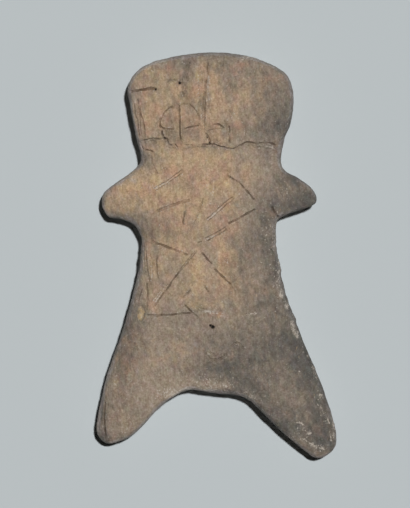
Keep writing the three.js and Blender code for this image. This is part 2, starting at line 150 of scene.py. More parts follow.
# Lines drawn with a split reed: width, depth, height of the clay pushed up beside them, pale dust on their
# floor towards the end of the pull, and path
STROKES = {
    "left line of the face, top": (0.4, 0.2, 0.03, 0, [(-8.5, 44.4), (-8.6, 42.1), (-8.1, 38.6)]),
    "left line of the face": (0.42, 0.4, 0.06, 0, [(-9.2, 37.4), (-9.1, 34.2), (-9, 30.4), (-8.9, 28)]),
    "left line of the face, foot": (0.44, 0.5, 0.05, 0, [(-8.95, 30), (-8.9, 28.2), (-8.8, 26.5)]),
    "middle furrow, top": (0.5, 0.2, 0.03, 0.2, [(-2.2, 47.6), (-2.45, 46.2), (-2.6, 44.8)]),
    "middle furrow": (0.9, 0.2, 0.05, 0.1, [(-3.2, 40.8), (-3.25, 37), (-3.2, 33.4)]),
    "middle furrow, right wall": (0.34, 0.26, 0.03, 0,
                                  [(-2.85, 38.8), (-2.9, 35.6), (-2.95, 32.6), (-3.05, 30)]),
    "right line of the face, top": (0.7, 0.1, 0.03, 0.2, [(3.9, 37.4), (3.5, 35.3), (3.1, 32.6)]),
    "right line of the face": (0.46, 0.36, 0.06, 0.2, [(3.1, 32.4), (3.2, 29.8), (3.1, 27.2)]),
    "brow slit": (0.6, 0.6, 0.06, 0,
                  [(-21.6, 40.2), (-20, 40.5), (-18.2, 40.8), (-16.4, 41.1), (-14.9, 40.8)]),
    "brow slit, torn end": (0.65, 0.7, 0.04, 0,
                            [(-17.2, 41), (-16.1, 41.15), (-15.3, 40.95), (-14.6, 40.75)]),
    "temple scrape": (0.9, 0.12, 0.03, 0.4, [(-13, 43), (-10.8, 43), (-9.2, 42.6)]),
    "left eye, outer rim": (0.55, 0.5, 0.04, 0, [(-13.7, 31.2), (-14, 32.1), (-14, 33.3), (-13.6, 34.3)]),
    "left eye, brow": (0.42, 0.24, 0.03, 0, [(-13.7, 34.1), (-12.9, 35.3), (-11.7, 36.3), (-10.6, 36.8)]),
    "left eye, upper rim": (0.38, 0.14, 0.03, 0, [(-11, 36.7), (-9.2, 37.3), (-6.8, 37.3)]),
    "left eye, inner rim": (0.36, 0.26, 0.04, 0, [(-7, 37.5), (-5.6, 36.2), (-4.4, 34.7), (-4.1, 32.8)]),
    "left eye, slit": (0.45, 0.42, 0.05, 0, [(-13.9, 31.9), (-13.2, 31.3), (-11.8, 31.2), (-10.2, 31.2)]),
    "left eye, slit past the line": (0.4, 0.36, 0.05, 0, [(-8.2, 31), (-7, 31.5), (-5.3, 31.8), (-4.1, 32)]),
    "left eye, crumb at the corner": (0.35, 0.2, 0.04, 0, [(-4.8, 32.7), (-4.2, 32.3), (-3.7, 32.5)]),
    "left eye, lower rim": (0.58, 0.55, 0.05, 0, [(-13.6, 31), (-13.4, 29.9), (-13.1, 29), (-12.6, 28.4)]),
    "left cheek, torn rim": (0.46, 0.42, 0.05, 0, [(-12.5, 29.1), (-12.2, 28.2), (-11.8, 27.4), (-10.8, 27)]),
    "left cheek, end of the torn rim": (0.42, 0.42, 0.04, 0, [(-10.4, 27.6), (-10, 26.9), (-9.5, 26.4)]),
    "right eye, lid": (0.42, 0.42, 0.05, 0,
                       [(-1.4, 32.1), (-0.4, 32.3), (0.6, 32.3), (1.2, 31.8), (2.1, 31.3)]),
    "right eye, slit": (0.36, 0.2, 0.03, 0, [(-2.8, 30.5), (-1.2, 31), (0.4, 31.3), (1.8, 31.3)]),
    "right eye, lower rim": (0.52, 0.62, 0.04, 0, [(-3, 30.3), (-2.4, 29.6), (-1.9, 28.5), (-1.5, 27.7)]),
    "right eye, outer rim": (0.4, 0.14, 0.02, 0, [(4.6, 35), (6.4, 33), (7.1, 31), (6.9, 29.2), (5.6, 27.6)]),
    "chin, left": (0.5, 0.46, 0.05, 0,
                   [(-18.6, 28.1), (-17, 28.4), (-15.8, 28.7), (-14.6, 28.6), (-13.1, 28.7)]),
    "chin, crack": (0.55, 0.62, 0.03, 0, [(-3.8, 27.1), (-2.4, 27.15), (-1.2, 27.1), (0, 26.85)]),
    "chin, under the left cheek": (0.34, 0.26, 0.03, 0, [(-8.2, 27.1), (-5.9, 27.2)]),
    "chin, under the right cheek": (0.42, 0.36, 0.03, 0, [(-0.9, 27.1), (0.4, 26.75), (2.2, 26.6)]),
    "chin, middle": (0.44, 0.38, 0.03, 0,
                     [(2, 26.4), (4, 26.2), (5.6, 26.9), (7, 27.75), (8.6, 27.8), (10, 27.45)]),
    "chin, right": (0.42, 0.4, 0.03, 0, [(9.9, 27.4), (11.4, 27.75), (12.9, 27.75), (13.9, 27.4), (15, 27)]),
    # a pale line that paints the highlight on the lip under the chin
    "chin, pale edge": (0.42, 0.05, 0.05, 1, [(9.6, 27.3), (11, 27.15), (12.6, 26.9), (14.8, 26.1)]),
    "hair, outer": (0.3, 0.3, 0.06, 0, [(-20.3, 37.6), (-20.1, 34.9), (-19.5, 33), (-19.3, 31), (-19, 29.2)]),
    "hair, middle": (0.28, 0.24, 0.06, 0,
                     [(-19.5, 39), (-19.3, 36.4), (-18.9, 34.2), (-18.8, 31.4), (-18.5, 29.4)]),
    "hair, inner, top": (0.3, 0.2, 0.05, 0, [(-19.3, 38.6), (-19.1, 36.8), (-18.8, 35.2)]),
    "hair, inner": (0.36, 0.42, 0.07, 0,
                    [(-18.9, 35.6), (-18.5, 34), (-18, 32.4), (-17.8, 30.8), (-17.8, 28.9)]),
    "neck bar": (0.38, 0.4, 0.04, 0, [(-18.1, 26), (-17.1, 25.9), (-16.3, 25.8), (-15.6, 25.4)]),
    "neck bar, rise": (0.36, 0.3, 0.03, 0, [(-18.7, 27.2), (-18.4, 26.5), (-18, 25.9)]),
    "neck vee, left": (0.36, 0.18, 0.02, 0, [(-16.1, 25), (-15.8, 22.7), (-14.3, 19.8)]),
    "neck vee, right": (0.36, 0.12, 0.02, 0, [(-14.3, 19.8), (-12.5, 22)]),
    "collar, left": (0.85, 0.44, 0.07, 1, [(-8.2, 21), (-10.5, 19.3), (-13, 17.6), (-15.6, 16.1)]),
    "collar, right": (0.44, 0.34, 0.05, 0, [(2.4, 19.7), (5.4, 18), (7.5, 15.7), (9.4, 13.5)]),
    "crack of the left arm": (0.3, 0.12, 0.02, 0, [(-24.2, 15.8), (-20, 15.6), (-16.4, 16.1)]),
    "chest, left": (0.75, 0.28, 0.06, 0.3, [(-6.4, 13.5), (-8.8, 13.1), (-10.9, 12.3), (-15, 10.8)]),
    "chest drag": (0.42, 0.24, 0.03, 0, [(-7.9, 11), (-8.1, 9.4), (-8.4, 7.4)]),
    "chest drag, pale": (0.4, 0.28, 0.05, 0.3, [(-3.1, 14.4), (-4.3, 11.2), (-5.2, 8.8), (-6.6, 5.8)]),
    "chest, right": (0.85, 0.42, 0.07, 1, [(4.4, 14.3), (2.5, 13), (0.3, 11), (-2.6, 8.4)]),
    "long line, right": (0.5, 0.42, 0.05, 0, [(9.7, 11.4), (7.5, 10.3), (5.4, 9.1), (2.7, 7.7)]),
    "long line, lower pull": (0.95, 0.45, 0.07, 0.8, [(2.5, 6.8), (0.6, 5.6), (-1.4, 4.5), (-3.2, 3.6)]),
    "long line, end": (0.4, 0.35, 0.03, 0, [(-3.4, 3.4), (-5, 3.1)]),
    "waist, left": (0.5, 0.4, 0.06, 0.2, [(-16.2, 3.5), (-13, 2.3), (-10, 1.2), (-7, 0)]),
    "star arm, upper right": (0.44, 0.42, 0.05, 0, [(-3.8, 0.9), (-2.4, -0.8), (-1, -2.4)]),
    "star arm, lower right": (0.46, 0.45, 0.05, 0, [(-0.8, -3.1), (1.4, -5.2), (3.6, -7.4)]),
    "star arm, tail": (0.35, 0.2, 0.02, 0, [(3.3, -7.2), (5.2, -9.5)]),
    "star arm, left, top": (0.6, 0.3, 0.05, 0.4, [(-4.8, 1.3), (-7.2, -1.5), (-9, -3.8)]),
    "star arm, left": (0.44, 0.38, 0.06, 0,
                       [(-8.4, -3), (-10.5, -5.7), (-12.4, -8.5), (-14.2, -10.8), (-15.5, -13)]),
    "star arm, left, second pull": (0.4, 0.26, 0.06, 1,
                                    [(-11.8, -7), (-12.9, -8.4), (-14.3, -10.3), (-15.3, -11.8)]),
    "star arm, left, third pull": (0.38, 0.24, 0.06, 1, [(-12.6, -7.3), (-14.2, -9.4), (-15.9, -11.6)]),
    "side line, top": (0.4, 0.27, 0.05, 0.1, [(-17.5, 1.4), (-17.2, -2), (-16.9, -4.6), (-16.4, -6.9)]),
    "side line, bottom": (0.44, 0.33, 0.04, 0.1, [(-17.4, -6.6), (-17.1, -8.6), (-17.1, -11), (-17.3, -14)]),
    "side scratch, outer": (0.38, 0.18, 0.04, 0.3, [(-18, 0.2), (-17.7, -4.6)]),
    "side scratch, middle": (0.38, 0.2, 0.05, 0.9, [(-16.4, 0.5), (-16.1, -2), (-15.9, -6)]),
    "side scratch, inner": (0.4, 0.32, 0.04, 0.1, [(-14.8, 0.2), (-14.7, -3.5), (-14.3, -6.2)]),
    "hip scratch, outer": (0.4, 0.22, 0.04, 0, [(-18.3, -8), (-18.9, -9.8), (-19.6, -11.8)]),
    "hip scratch, inner": (0.34, 0.14, 0.05, 0.8, [(-17.9, -8.2), (-18.6, -10.6), (-18.9, -12.4)]),
    "belly tick, left": (0.45, 0.22, 0.03, 0.2, [(-6.3, -8.4), (-8.4, -10.6)]),
    "belly tick, right": (0.46, 0.42, 0.03, 0, [(-3.1, -7.3), (-2, -9.3)]),
    "hip tick": (0.42, 0.46, 0.05, 0, [(-8.2, -12.1), (-7.3, -12.9), (-6.2, -13.9), (-4.6, -15.3)]),
    "hip line": (0.44, 0.32, 0.04, 0, [(-17.4, -14.7), (-12.3, -14.75), (-8.4, -14.35), (-6, -14.2)]),
    "hip line, right": (0.4, 0.14, 0.02, 0.8, [(5.5, -14.8), (10.5, -14.3)]),
    "scrape above the navel": (0.6, 0.12, 0.06, 0.8, [(-6.6, -12.2), (-4.5, -13), (-1.8, -14), (0.8, -14.4)]),
    "armpit crease": (0.5, 0.45, 0.03, 0, [(13.5, 12.3), (14.3, 10.8), (15.5, 8.9)]),
    "left foot crease": (0.5, 0.45, 0.03, 0, [(-27.5, -36), (-27.8, -39.4), (-27.7, -42.4), (-27.3, -45)]),
    "belly wrinkle": (0.7, 0.26, 0.14, 0.3,
                      [(-3, -24.4), (-1.6, -25.6), (0, -25.9), (1.7, -25.2), (2.6, -24.4)]),
    "belly wrinkle, upper": (0.6, 0.2, 0.1, 0.3, [(-2.6, -22.8), (-1.6, -24), (-0.4, -24.6)]),
    "belly wrinkle, right": (0.6, 0.2, 0.12, 0.3, [(3.4, -22.6), (4.8, -21.6), (6, -22.2), (7, -23.6)]),
    "ankle scratch, fork": (0.42, 0.12, 0.05, 1, [(24.7, -36), (25.7, -37.5), (26.3, -38.5)]),
    "ankle scratch, left": (0.42, 0.12, 0.05, 1, [(26.2, -38.2), (25.9, -39.2), (25.4, -39.9)]),
    "ankle scratch, right": (0.46, 0.12, 0.05, 1, [(26.4, -38.3), (27.1, -39.8), (27.9, -41.8)]),
    "heel scratch": (0.46, 0.12, 0.05, 1, [(27.7, -42.4), (28, -44.4), (28.4, -46.2)]),
    "foot scratch, upper": (0.4, 0.1, 0.05, 1, [(18.6, -41), (20.2, -41.2), (21.8, -42)]),
    "foot scratch, middle": (0.4, 0.1, 0.05, 1, [(19.6, -43.2), (21.6, -43.2), (23.4, -44.2)]),
    "foot scratch, lower": (0.4, 0.1, 0.05, 1, [(21.4, -45), (22.8, -46.1), (24.2, -47)]),
    "toe scratch": (0.44, 0.1, 0.05, 1, [(23.8, -47), (25.4, -47.3), (26.8, -48)]),
}

# Length over which a line starts and fades out
STROKE_TAPER = 0.6

# How far a line strays from its path, and over what length
STRAY = 0.09
STRAY_LENGTH = 1.4

# The share by which a line's width varies, and over what length
WIDTH_CHANGE = 0.32
WIDTH_LENGTH = 0.8

# How hard a line is pressed in: the usual, how much that varies over what length, and the least and the most
PRESSURE = 0.9
PRESSURE_CHANGE = 0.55
PRESSURE_LENGTH = 1.6
LEAST_PRESSURE = 0.25
MOST_PRESSURE = 1.2

# The least pressure for each millimetre of a line's depth, so that a deep line doesn't skip
FIRMNESS = 1.1

# Where a line's raised lips stand and how wide they are, in half widths of it, and how much pale dust and
# painted highlight they hold
LIP_PLACE = 1.3
LIP_WIDTH = 0.45
LIP_DUST_AND_HIGHLIGHT = 0.45

# The depth from which dirt and painted shade fill a line, and the share of them that pale dust hides
DIRT_AND_SHADE_DEPTH = 0.35
DIRT_AND_SHADE_UNDER_DUST = 0.85

# Holes pushed in with a point: middle, mouth radius and depth
HOLES = {
    "navel, top": ((-1.5, -17.35), 0.36, 1.2),
    "navel, foot": ((-0.98, -17.75), 0.5, 1.5),
    "corner of the left cheek": ((-12.9, 28.7), 0.42, 0.7),
    "temple": ((-9.15, 42.5), 0.42, 0.8),
    "end of the brow slit": ((-15.1, 40.85), 0.32, 0.5),
    "crack under the nose": ((-1.65, 27.15), 0.42, 0.9),
    "nick over the crack": ((-1.75, 27.8), 0.3, 0.5),
    "nick beside the nose": ((-2.35, 29.05), 0.24, 0.4),
}

# Broad smears where a finger or a rag dragged: half width, depth, how much grime they hold, and path. The
# grime also paints shade into the hollows and valleys they leave.
SMEARS = {
    "top of the middle furrow": (0.7, 0.45, 0.3, [(-2.3, 47.8), (-2.6, 44.5), (-3, 42)]),
    "grey floor of the middle furrow": (0.6, 0.4, 0.4, [(-3.1, 44), (-3.6, 40.5), (-3.7, 35.5)]),
    "left of the ridges": (1.2, 0.55, 0.55, [(-7, 49), (-7.7, 46.5), (-8.1, 43.5), (-8.3, 40.5), (-8.4, 38)]),
    "right of the ridges": (1.5, 0.45, 0.42, [(0.8, 48), (2.6, 45.5), (3.6, 42), (3.6, 39)]),
    "right of the nose": (0.8, 0.3, 0.3, [(3.6, 37), (3.1, 34.5), (2.9, 32)]),
    "temple": (0.7, 0.15, 0.5, [(-12.6, 43), (-11, 43.1), (-9.8, 42.9)]),
    "brow, right": (0.8, 0.1, 0.3, [(4.8, 45.4), (9.5, 45.2), (14, 44.5)]),
    "under the crack": (0.7, 0.35, 0.5, [(-3.9, 26.7), (-1, 26.7), (1.2, 26.3)]),
    "under the left chin": (0.6, 0.3, 0.35, [(-18.4, 27.7), (-15, 28.1)]),
    "long drag on the chest": (0.4, 0.1, 0.4, [(-7.6, 12.4), (-8.1, 7.2)]),
    "short drag on the chest": (0.4, 0.1, 0.3, [(-3.8, 12.6), (-4.9, 9.2)]),
    "along the long line": (0.7, 0.12, 0.35, [(2.6, 6.6), (-2.6, 3.6)]),
    "by the left tick": (0.6, 0.1, 0.3, [(-6.3, -8.4), (-8.6, -10.7)]),
    "outside of the left thigh": (1.4, 0.1, 0.3, [(-20.6, -21), (-22.6, -30)]),
    "fold over the crotch": (1.1, 0.16, 0.6, [(-3.5, -26.8), (1, -28.6), (6.5, -31), (10.5, -34)]),
    "hollow under the belly": (2.6, 0.05, 0.5, [(-1, -26.6), (6, -28)]),
}

# Soft hollows and swellings finer than the solid's: middle, reach across and along, height
DENTS = {
    "crest of the left ridge": (-5.2, 42.5, 1, 4.5, 0.55),
    "crest of the right ridge": (-1.5, 41.5, 1.1, 4.5, 0.5),
    "flank of the head": (12, 38, 5, 6, 0.15),
    "pillow of the left cheek": (-6.4, 29.3, 1.9, 1.3, 0.2),
    "pillow of the right cheek": (1, 29.2, 1.9, 1.2, 0.2),
    "root of the left arm": (-15.5, 15, 2, 5, 0.15),
    "fold of the left armpit": (-16.5, 8.6, 3, 1.4, -0.25),
    "hollow under the navel": (0.5, -21.5, 5, 2, -0.2),
    "hollow over the crotch": (2, -27, 5, 2.5, -0.3),
    "front of the left thigh": (-18.5, -28, 3, 8, 0.25),
    "front of the right thigh": (14, -32, 3.5, 8, 0.2),
    "facet outside the left foot": (-29, -41, 1.4, 5, -0.6),
    "facet outside the right foot": (29, -43, 1.2, 5, -0.4),
}

# Patches darkened by smoke in the firing, front and back: middle, reach across and along, strength. The
# narrow rows along the left arm's underside and the left waist's edge, which face away from the lamp, are
# painted shade.
SMOKE_AND_SHADE = [
    # head
    (16.5, 38, 4, 8, 0.42), (14.2, 31.8, 4.5, 4.5, 0.45), (17, 34, 2.4, 5, 0.3), (2, 50, 13, 3, 0.45),
    (10.5, 43, 7, 6, 0.3), (11.5, 39, 2.5, 5, 0.25), (-10.5, 31.5, 4, 4.5, 0.3),
    (-11.6, 33.8, 1.6, 1.7, 0.25), (8, 32, 5, 4, 0.3), (0.6, 41.5, 1, 3, 0.35), (-14, 40.3, 2.5, 2, 0.15),
    (-3, 45, 1.2, 1.5, 0.2), (-10, 28.8, 4, 1.5, 0.25), (-10, 47.5, 2.5, 1.6, 0.3), (13, 26, 4, 5, 0.32),
    (0, 30, 6, 2.5, 0.25), (-16.5, 33, 3, 5, 0.15), (-5, 34, 3, 4, 0.28), (-6, 39, 3, 2, 0.2),
    (-16, 45, 3, 2, 0.2), (-5.5, 47.5, 2, 1.5, 0.25), (-10.5, 28, 3, 1.2, 0.2), (0, 46, 2, 2, 0.2),
    (-10.5, 44, 3, 3, 0.25), (-14, 39.5, 3, 2, 0.2), (-4, 36.5, 3, 1.6, 0.2), (-17, 41, 5, 4.5, 0.22),
    (-21.5, 39, 1.5, 3, 0.42), (-9.5, 36.8, 1.8, 1.2, 0.28),
    # chest and arms
    (-17.5, 24, 3, 3, 0.42), (-13.5, 22, 2, 2.5, 0.3), (8, 21, 1.5, 1.5, 0.2), (21, 14.8, 8, 8, 0.5),
    (22.5, 12.6, 4, 2.4, 0.6), (23.5, 15, 2, 3, 0.3), (18, 11.6, 4, 1.5, 0.5), (18.5, 18.5, 3, 2.4, 0.42),
    (15, 15, 2, 4, 0.3), (-28.3, 13.5, 1.6, 3, 0.45), (12.6, 12.5, 3, 3.5, 0.26), (10.8, 9, 2.6, 5, 0.3),
    (-24, 9.6, 5, 1.2, 0.45), (-7.5, 17, 3, 2, 0.42), (-4.5, 20, 2.5, 1, 0.2), (-14, 12, 3, 5, 0.15),
    (-3.5, 10, 2, 1.6, 0.25), (-24, 12, 4, 3, 0.15), (21, 18.5, 4, 1.6, 0.3),
    # waist and belly
    (12.8, 4, 2.4, 8, 0.56), (14.5, -6, 3, 8, 0.56), (6.5, 2, 4.5, 7, 0.42), (4.5, -4, 3, 4, 0.2),
    (7, -9, 5, 6, 0.36), (-17.5, 6.5, 3, 3.4, 0.5), (-13, 6, 4, 4, 0.34), (-19.3, -1, 0.8, 3, 0.75),
    (-4, -6.5, 3, 1.6, 0.2), (-14.8, -3, 2.5, 5, 0.34), (-19, -6, 2, 9, 0.25), (-21, -18, 4, 9, 0.5),
    (-6, -14, 7, 4, 0.28), (11.5, -12, 3, 3, 0.3), (9, -16, 6, 4, 0.3), (16.5, -19, 5, 6, 0.52),
    (-8, 5, 3, 2, 0.2), (-14, -7, 2, 1.5, 0.25), (-18, -16, 1.4, 3, 0.25), (-21.5, -17, 1, 5, 0.3),
    (10.5, 4, 1.6, 2, 0.25), (-9, 5, 3, 2, 0.2), (3, -7, 3, 2, 0.2), (-5, -12.5, 2.5, 2, 0.2),
    (3, -20, 4, 3, 0.2), (18, -12, 2.5, 6, 0.5),
    # legs
    (22.5, -24.5, 1.2, 2.5, 0.5), (-24, -30, 3, 10, 0.42), (-23, -26, 2.4, 4, 0.25), (-20, -40, 6, 5, 0.24),
    (-29, -40, 3, 8, 0.52), (-23, -45, 2.5, 1.2, 0.3), (-1, -21.5, 9, 4.5, 0.36), (9, -24, 5, 3, 0.38),
    (3, -28, 8, 4, 0.64), (-8, -28, 6, 2.6, 0.3), (12, -22, 8, 3, 0.3), (15, -28, 6.5, 6, 0.44),
    (21.5, -27, 3.6, 8, 0.75), (19.5, -20.5, 2.5, 4, 0.4), (24.5, -32, 2, 6, 0.5), (16, -39, 7, 6, 0.48),
    (12.5, -38.5, 3, 3, 0.45), (16, -42.5, 4, 2, 0.55), (17, -23, 3, 3, 0.25), (27, -46.3, 2.5, 1.8, 0.5),
    (5.5, -30.2, 3.5, 1.4, 0.3), (-4, -30.3, 2, 1, 0.3), (-18, -23, 1.6, 4, 0.3), (23, -28, 1.2, 5, 0.5),
    (18, -42, 3, 2, 0.3), (8, -32, 5, 2.2, 0.45), (4, -33.6, 4, 1.2, 0.4), (10, -35, 3.5, 2.5, 0.45),
    (25, -45, 6, 7, 0.62), (27.5, -45, 2, 3, 0.45), (20, -44, 2.5, 1.2, 0.3), (-27.5, -45, 3, 2, 0.5),
    (26.5, -36, 2.6, 9, 0.6),
]
BACK_SMOKE = [
    (5, 36, 10, 9, 0.45), (-16, 14, 9, 6, 0.4), (-3, -2, 7, 10, 0.35), (14, -22, 8, 9, 0.55),
    (-22, -34, 7, 12, 0.6), (27, -44, 6, 8, 0.5),
]

# Clear of the smoke, where the clay burnt warm. The row under the crotch also lightens its downward-facing
# rim as painted light.
CLEAR = [
    # head
    (-9, 35, 9, 11, 0.6), (-16, 38, 6, 8, 0.55), (-2, 39, 5, 9, 0.75), (9, 39, 6, 6, 0.5),
    (2, 31, 6, 4, 0.45), (-7.5, 33, 2, 1.8, 0.5), (-15.5, 44, 1.6, 1.2, 0.5), (-2, 38.5, 1.2, 2.5, 0.8),
    (11, 32.5, 3, 2, 0.25),
    # chest and arms
    (-5, 19, 11, 9, 0.9), (-20, 16.5, 7, 4.5, 0.9), (6.5, 18, 4, 6, 0.3), (13, 10.5, 2.5, 2.4, 0.65),
    (16.5, 15.5, 2, 2, 0.3), (18, 16.5, 3, 2, 0.3), (0.5, 15, 1.2, 2.5, 0.4), (-12, 12, 6, 5, 0.6),
    # waist and belly
    (-7, 5, 8, 9, 0.65), (-3, -7, 8, 6, 0.65), (-14, -3, 4, 8, 0.5), (3, 2, 4, 7, 0.65), (6, -8, 6, 6, 0.5),
    (-17.3, -11.5, 2.6, 2.4, 0.4), (12, 3, 2, 2.4, 0.25), (-20, -18, 1.6, 2.5, 0.4),
    (2, 7.5, 1.6, 1.6, 0.4), (2.2, -1.6, 2, 2, 1),
    # legs
    (-10.5, -35, 5, 1.6, 0.35), (-7, -27.5, 3, 1.4, 0.4), (-10, -22, 3, 2, 0.3), (-13, -21, 2.5, 2.5, 0.35),
    (-19, -23, 5, 9, 0.3), (-22, -37, 4, 6, 0.4),
]

# Redder clay where air reached the fire
WARM = [
    # head
    (5.4, 31.8, 1.6, 1.3, 0.9), (14, 43.6, 3.4, 1.6, 0.65), (6, 47, 3, 0.9, 0.55),
    (-12.5, 45.4, 4, 1.8, 0.45), (-17, 31, 1.6, 3, 0.6), (-14.5, 26, 3.5, 2.5, 0.25), (5, 44, 4, 3, 0.3),
    (-18.5, 37.5, 2, 4, 0.5), (-5, 40, 1.4, 3, 0.4), (0, 39, 1.6, 4, 0.4), (-1, 29, 1.4, 1.2, 0.5),
    (-11.5, 34, 2, 2, 0.55), (-7, 34, 2.5, 2.5, 0.4),
    # chest and arms
    (-5, 17, 4, 4, 0.45), (-10.5, 22, 5, 2.4, 0.2), (-24, 11.5, 5, 3, 0.3), (11.5, 17, 2.5, 4, 0.2),
    (3, 8.5, 3, 4, 0.25), (22, 13, 2.5, 1.4, 0.15), (2, 11, 3, 3, 0.5),
    # waist and belly
    (1.4, -0.8, 2.2, 3.2, 0.5), (8, 1, 2, 4, 0.35), (-17, 4, 2.5, 4, 0.45), (-22, -20, 4, 6, 0.25),
    (-0.8, -14.8, 3.4, 1.1, 0.35), (-2, -10, 3, 3, 0.3), (-10, 1.5, 3.4, 2.4, 0.3), (-12.5, 7.5, 5, 3, 0.5),
    (-12, -17, 2.5, 2, 0.1), (1, -14.8, 1.6, 1, 0.3),
    # legs
    (-8, -25, 7, 5, 0.25), (5, -28.3, 6, 3, 0.3), (26, -44, 1.8, 3, 0.7), (-22.4, -26, 2.2, 6, 0.65),
    (17, -21, 3, 3, 0.1), (-26.5, -44.5, 2.5, 2, 0.6),
]

# Yellower clay
OCHRE = [
    # head
    (-14.5, 45.4, 4.5, 1, 0.6), (-14, 37, 3, 4, 0.3), (-5, 44, 1.2, 4, 0.5), (4.9, 35.2, 1.1, 1.5, 0.6),
    (0, 47, 1.5, 1.2, 0.35), (8, 41, 2, 4, 0.5), (-12, 24.8, 4, 1.5, 0.5), (3, 26, 3, 1.6, 0.4),
    (-16, 26, 2, 1.5, 0.4), (-11, 43.5, 4, 3, 0.35), (-13, 27.7, 3, 2, 0.5), (-13.5, 40.5, 4, 3, 0.5),
    # chest and arms
    (-23, 16, 6, 3, 0.5), (-14.5, 18.5, 3, 2.6, 0.5), (-2, 24, 7, 1.6, 0.5), (-18, 12, 3, 2.5, 0.5),
    (3, 21, 3, 3, 0.2), (-11.5, 14.8, 4, 3, 0.5), (4, 16.5, 3, 3, 0.3), (-20, 20.5, 3, 1.2, 0.5),
    (3.2, 11, 2.5, 2, 0.6), (-12, 21.5, 3, 1.6, 0.4), (-24, 11, 5, 3, 0.5), (-15, 24, 2, 1.5, 0.4),
    # waist and belly
    (-4.5, 5.2, 2, 3, 0.5), (-4.6, -5.5, 3, 4, 0.5), (-4.4, -12.5, 3.4, 1.2, 0.85), (-1, -12, 4, 2, 0.35),
    (-18.7, -14, 0.9, 2, 1.1), (10, -5, 2, 3, 0.15), (-8, -1, 4, 5, 0.35), (-7.5, -11, 4, 2, 0.45),
    (5, -18, 3, 2.5, 0.3), (-14.5, 5, 4, 4, 0.75), (1, -14.7, 0.9, 0.8, 0.9),
    # legs
    (-25, -31, 1.2, 4, 0.5), (-23.8, -26.5, 2, 4, 0.55), (-10, -24, 6, 4, 0.35), (4, -28.5, 6, 2.5, 0.25),
    (-21, -21, 4, 5, 0.4),
]

# Pale crust of salts, and dust in scrapes. The rows along the rim of the crown, the crotch and the right
# flank also lighten those edges as painted light.
PALE_AND_PAINTED_LIGHT = [
    # head
    (-15.8, 48, 4.6, 1, 0.55), (9.5, 48.9, 5, 1, 0.7), (-17.5, 46.3, 3, 1, 0.4), (-2.1, 43.1, 0.4, 1.3, 1),
    (-4.6, 42, 0.5, 4, 0.55), (-1.9, 40.5, 0.5, 3, 0.4), (-2.2, 38, 0.8, 2, 0.3), (4.8, 35, 1, 1.2, 0.3),
    # chest and arms
    (-14.9, 16.7, 1.2, 0.5, 1), (-2.4, 17, 1.2, 1, 0.35), (-1, 15.4, 0.5, 1.2, 0.4),
    (16.4, 16, 2.5, 2.5, 0.26),
    # waist and belly
    (14.3, 5, 0.6, 4, 0.52), (15.3, -4, 0.6, 5, 0.55), (-1.5, -13.9, 1.6, 0.45, 1),
    (1.4, -15.1, 1.1, 0.4, 0.6), (-5, -12.5, 1.8, 0.3, 0.4), (8.5, -14.5, 2, 0.4, 0.45),
    (2.2, -1.6, 1.4, 1.4, 0.25), (-12.8, 1.7, 0.9, 0.3, 0.6), (15, 7.6, 0.8, 1, 0.5),
    (12.8, 4, 1.6, 7, 0.26), (14.5, -7, 1.6, 4, 0.26),
    # legs
    (-4, -31, 5, 2, 0.36), (1, -32.4, 4, 1.2, 0.5), (-9.5, -34.2, 5, 1.3, 0.9), (8, -35.3, 3, 1, 0.6),
    (6.5, -34, 3, 1, 0.3), (23.8, -28.2, 0.8, 1.5, 0.44), (25.4, -34.8, 0.8, 1.2, 0.5),
    (21.2, -43.4, 2.2, 1.6, 0.28), (18.5, -45, 3, 1, 0.3), (25, -47.3, 2.4, 0.7, 0.5),
    (27.3, -41, 0.8, 2, 0.4), (28.9, -43.5, 0.5, 3, 0.6), (22.5, -24.9, 0.4, 0.4, 0.9),
    (24, -27.8, 0.35, 0.35, 0.9), (25.6, -34.6, 0.35, 0.35, 1), (20, -41.3, 0.5, 0.3, 1),
    (22.8, -44, 0.5, 0.3, 1), (24.3, -47.2, 0.6, 0.3, 1), (25.9, -47.8, 0.5, 0.3, 1),
    (21.4, -45.4, 0.6, 0.25, 0.8), (19.2, -28.5, 0.4, 0.3, 0.7), (20.3, -28.8, 0.35, 0.3, 0.7),
    (-21.5, -42.8, 2, 1.2, 0.36), (-25, -31, 1, 3, 0.3), (-7, -33.3, 6, 0.8, 0.5),
]

# Chips and scrapes down to fresh clay: middle, reach across and along, strength, and how pale they are
CHIPS = [
    (-18.6, -13.7, 1, 1.3, 1, 0.15), (-18.6, -15.1, 0.95, 0.9, 1, 0.3), (15.9, -9.6, 0.75, 1.6, 0.62, 1),
    (17.3, -12.5, 0.7, 1.3, 0.75, 1), (18.6, -16.9, 0.6, 0.9, 1, 1), (19.1, -18.1, 0.6, 0.9, 1, 1),
    (19.4, -19.2, 0.7, 0.7, 1, 1), (20, -20, 0.6, 0.7, 1, 1), (15.6, 2, 0.8, 3, 0.6, 0.5),
    (24.6, -29.5, 0.8, 2, 0.5, 0.5), (-18.9, 1, 0.6, 3, 0.5, 0),
]
CHIP_DEPTH = 0.35
CRUST_HEIGHT = 0.1

# Crumbly stretches of the edge
CRUMBLED = [
    (15.8, -1, 1.5, 9, 1), (18.8, -15, 1.5, 6, 1), (-19.2, 0, 1.2, 5, 0.6), (26, -37, 1.5, 7, 0.6),
]
CRUMBS = 0.35

# Net: the first cell, then the longest edge allowed on lines, on the front and on the back, how far beside a
# line and below the rim the finer nets reach, and how many times edges are cut
FIRST_CELL = 1.3
LINE_EDGE = 0.2
FRONT_EDGE = 0.47
BACK_EDGE = 0.95
LINE_REACH = 0.4
RIM_REACH = 1.5
REFINE_PASSES = 4

# No line lies lower than this above the rim
LINES_ABOVE_RIM = 1.0

# The share of the swells and grain that a wet finger wiped off the rim
RIM_WIPED = 0.5

# The table pressed the back flat up to this height, with an edge this soft
PRESSED_HEIGHT = 0.6
PRESSED_SOFTNESS = 0.1

# How fast streaks spread out towards the feet, and below what height on the figure
LEG_SPREAD = 0.05
WAIST = -10.0


